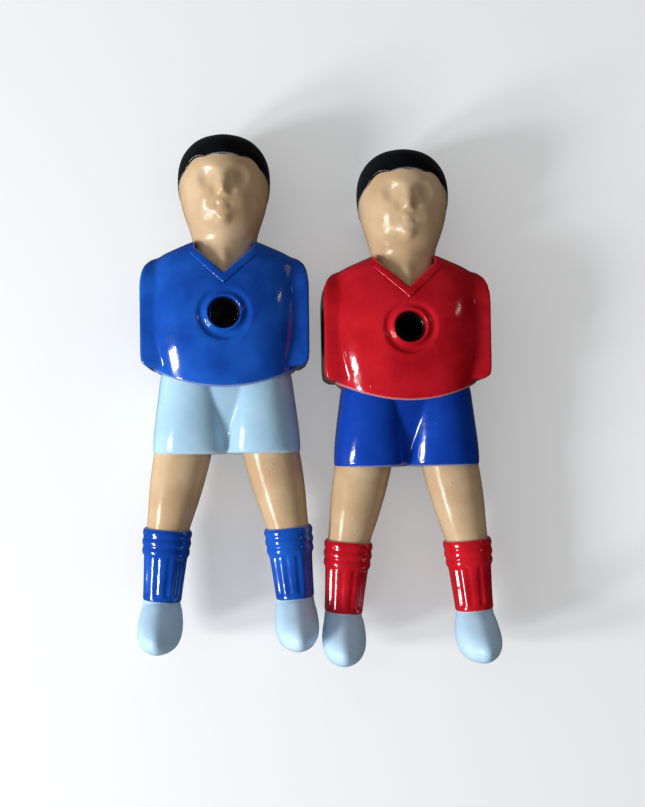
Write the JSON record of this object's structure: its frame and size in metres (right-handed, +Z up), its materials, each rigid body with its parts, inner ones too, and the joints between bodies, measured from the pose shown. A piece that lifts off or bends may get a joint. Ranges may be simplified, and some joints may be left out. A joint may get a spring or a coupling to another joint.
{
  "type": "table football player pair",
  "caption": "Pair of cast two-legged table football men in team colours, each with a rod bore through the chest.",
  "frame": {"origin": "on the table under the middle of the pair's box", "axes": "+X across the men towards the red one, +Y from boots to heads, +Z up out of the chests"},
  "size_m": [0.1146, 0.1696, 0.0337],
  "materials": {
    "hair_enamel": "high gloss",
    "skin_enamel": "high gloss",
    "boot_enamel": "satin",
    "blue_kit_enamel": "high gloss",
    "white_shorts_enamel": "high gloss",
    "red_kit_enamel": "high gloss",
    "royal_shorts_enamel": "high gloss"
  },
  "bodies": {
    "blue_player": {"blue_hair": "hair_enamel", "blue_head": "skin_enamel", "blue_collar": "blue_kit_enamel", "blue_jersey": "blue_kit_enamel", "blue_shorts": "white_shorts_enamel", "blue_left_arm": "blue_kit_enamel", "blue_right_arm": "blue_kit_enamel", "blue_left_leg": "skin_enamel", "blue_right_leg": "skin_enamel", "blue_left_sock": "blue_kit_enamel", "blue_right_sock": "blue_kit_enamel", "blue_left_boot": "boot_enamel", "blue_right_boot": "boot_enamel"},
    "red_player": {"red_hair": "hair_enamel", "red_head": "skin_enamel", "red_collar": "red_kit_enamel", "red_jersey": "red_kit_enamel", "red_shorts": "royal_shorts_enamel", "red_left_arm": "red_kit_enamel", "red_right_arm": "red_kit_enamel", "red_left_leg": "skin_enamel", "red_right_leg": "skin_enamel", "red_left_sock": "red_kit_enamel", "red_right_sock": "red_kit_enamel", "red_left_boot": "boot_enamel", "red_right_boot": "boot_enamel"}
  },
  "joints": [
    {"name": "red_player_slide", "type": "slide", "parent": "blue_player", "child": "red_player", "axis": [1, 0, 0], "range_m": [0, 0.06]}
  ]
}
